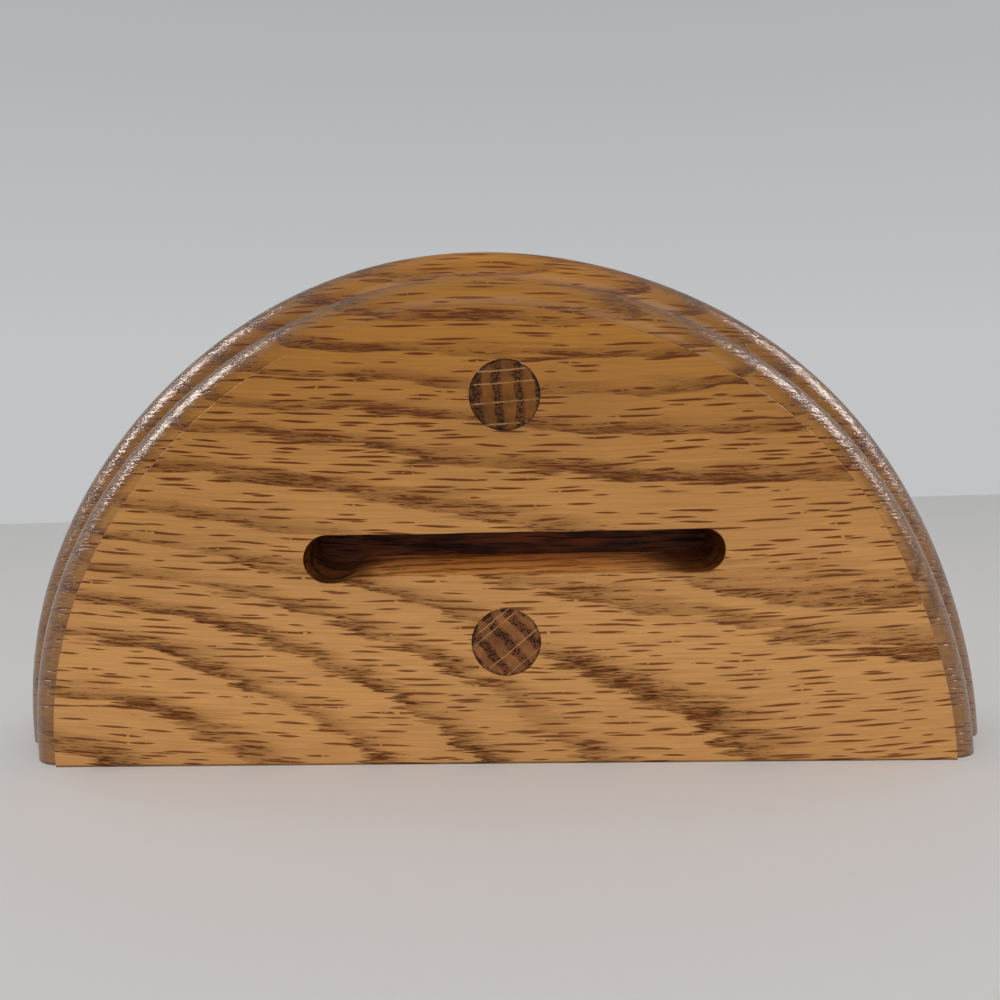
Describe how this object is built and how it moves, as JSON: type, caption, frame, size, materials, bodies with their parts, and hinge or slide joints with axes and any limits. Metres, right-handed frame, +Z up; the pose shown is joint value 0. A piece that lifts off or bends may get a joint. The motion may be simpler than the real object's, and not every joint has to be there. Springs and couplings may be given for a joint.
{
  "type": "photo block holder",
  "caption": "Half-round oak block on its straight edge, with a stepped routed rim, a blind horizontal slot in the face for a photo plate, and flush dowel ends.",
  "frame": {"origin": "middle of the straight base edge, at half the total thickness, on the surface that the block stands on", "axes": "+X along the base to the viewer's right, +Y from the slotted face to the back, +Z up"},
  "size_m": [0.1906, 0.0286, 0.0952],
  "materials": {
    "front_oak": "varnished red oak, satin to gloss, golden tan with dark rays and pores",
    "back_oak": "varnished red oak, satin",
    "dowel_oak": "varnished oak end grain, satin, darker than the boards"
  },
  "bodies": {
    "root": {"front_board": "front_oak", "back_board": "back_oak", "upper_dowel": "dowel_oak", "lower_dowel": "dowel_oak"}
  },
  "joints": []
}
